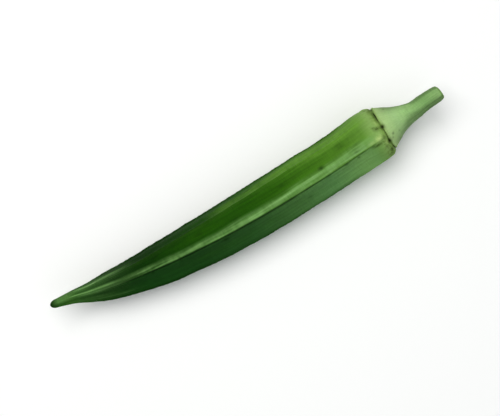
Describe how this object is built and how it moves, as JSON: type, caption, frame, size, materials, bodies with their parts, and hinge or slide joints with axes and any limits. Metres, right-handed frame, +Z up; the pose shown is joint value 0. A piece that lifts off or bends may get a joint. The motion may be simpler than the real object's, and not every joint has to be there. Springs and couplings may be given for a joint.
{
  "type": "okra pod",
  "caption": "Fresh ridged okra pod lying on its side, with a tapered beak, a calyx scar, and its cut stalk.",
  "frame": {"origin": "on the surface the pod lies on, under the middle of its bounding box", "axes": "+X from the beak to the cut end of the stalk, +Y to the hollow side of the bow, +Z up"},
  "size_m": [0.1399, 0.021, 0.0174],
  "materials": {
    "pod_skin": "fresh green plant skin, satin, finely ribbed and downy"
  },
  "bodies": {
    "root": {"okra_pod": "pod_skin"}
  },
  "joints": []
}
